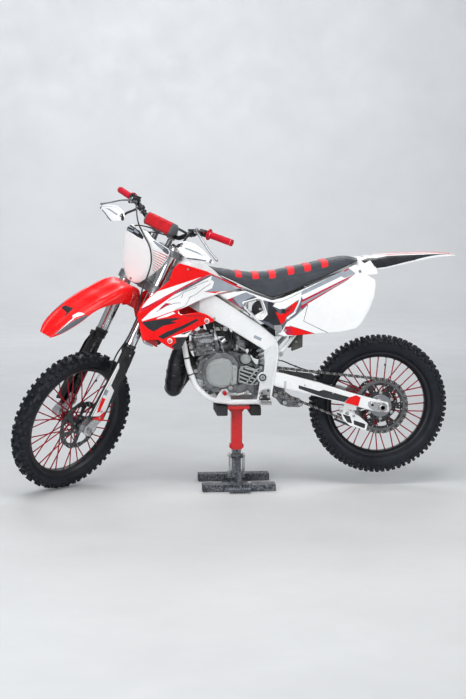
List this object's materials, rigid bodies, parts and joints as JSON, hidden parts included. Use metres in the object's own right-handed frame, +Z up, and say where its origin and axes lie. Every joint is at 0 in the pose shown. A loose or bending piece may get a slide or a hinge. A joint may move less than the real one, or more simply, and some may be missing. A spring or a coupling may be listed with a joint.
{
  "type": "off-road motorcycle on a lift stand",
  "caption": "Off-road motorcycle with knobbly tyres, twin-spar frame and turned steering, held up on a red foot-lever lift stand under its frame.",
  "frame": {"origin": "on the floor under the lift stand's post, in the motorcycle's centre plane", "axes": "+X towards the front of the motorcycle, +Y towards its left side, +Z up"},
  "size_m": [2.0927, 0.6294, 1.4159],
  "materials": {
    "red_plastic": "glossy moulded",
    "white_plastic": "glossy moulded",
    "black_plastic": "moulded",
    "white_paint": "gloss paint",
    "red_paint": "gloss paint",
    "dark_paint": "satin paint",
    "cast_grey": "cast, dull",
    "bright_alloy": "brushed",
    "black_alloy": "anodised",
    "black_steel": "satin paint",
    "steel": "brushed",
    "tyre": "knobbly",
    "black_rubber": "moulded",
    "red_rubber": "moulded",
    "seat_cover": "ribbed vinyl cloth"
  },
  "bodies": {
    "frame": {"stand_base": "dark_paint", "stand_column": "red_paint", "stand_pads": "black_rubber", "stand_pedal": "dark_paint", "left_spar": "white_paint", "right_spar": "white_paint", "steering_head": "white_paint", "frame_crossmembers": "white_paint", "frame_cradle": "white_paint", "subframe": "white_paint", "engine_cases": "cast_grey", "cylinder": "cast_grey", "carburettor": "cast_grey", "airbox": "black_plastic", "mud_flap": "black_rubber", "radiators": "bright_alloy", "fuel_tank": "white_plastic", "shrouds": "red_plastic", "seat": "seat_cover", "side_panels": "white_plastic", "rear_fender": "white_plastic", "exhaust_pipe": "black_steel", "silencer": "bright_alloy", "rear_shock": "steel", "suspension_linkage": "bright_alloy", "footpegs": "steel", "foot_levers": "steel", "rear_brake_hose": "black_rubber", "left_swingarm": "white_paint", "right_swingarm": "white_paint", "swingarm_bridge": "white_paint", "chain": "steel", "chain_guide": "white_plastic", "rear_axle": "steel", "rear_caliper": "bright_alloy"},
    "steering": {"triple_clamps": "bright_alloy", "fork_tubes": "bright_alloy", "fork_sliders": "black_alloy", "fork_guards": "black_plastic", "front_fender": "red_plastic", "number_plate": "white_plastic", "handlebar": "black_alloy", "bar_pad": "red_rubber", "grips": "red_rubber", "hand_controls": "black_alloy", "hand_guards": "white_plastic", "front_caliper": "bright_alloy", "front_axle": "steel", "front_brake_hose": "black_rubber"},
    "front_wheel": {"front_tyre": "tyre", "front_rim": "black_alloy", "front_hub": "black_alloy", "front_disc": "steel"},
    "rear_wheel": {"rear_tyre": "tyre", "rear_rim": "black_alloy", "rear_hub": "black_alloy", "rear_disc": "steel", "rear_sprocket": "steel"}
  },
  "joints": [
    {"name": "steering", "type": "hinge", "parent": "frame", "child": "steering", "pos_m": [0.40284, 0, 1.03995], "axis": [-0.421, 0, 0.907], "range_deg": [-90, 0]},
    {"name": "front_wheel_spin", "type": "hinge", "parent": "steering", "child": "front_wheel", "pos_m": [0.77836, 0.04434, 0.33628], "axis": [-0.6414, 0.7071, -0.2977], "continuous": true},
    {"name": "rear_wheel_spin", "type": "hinge", "parent": "frame", "child": "rear_wheel", "pos_m": [-0.677, 0, 0.3917], "axis": [0, 1, 0], "continuous": true}
  ]
}
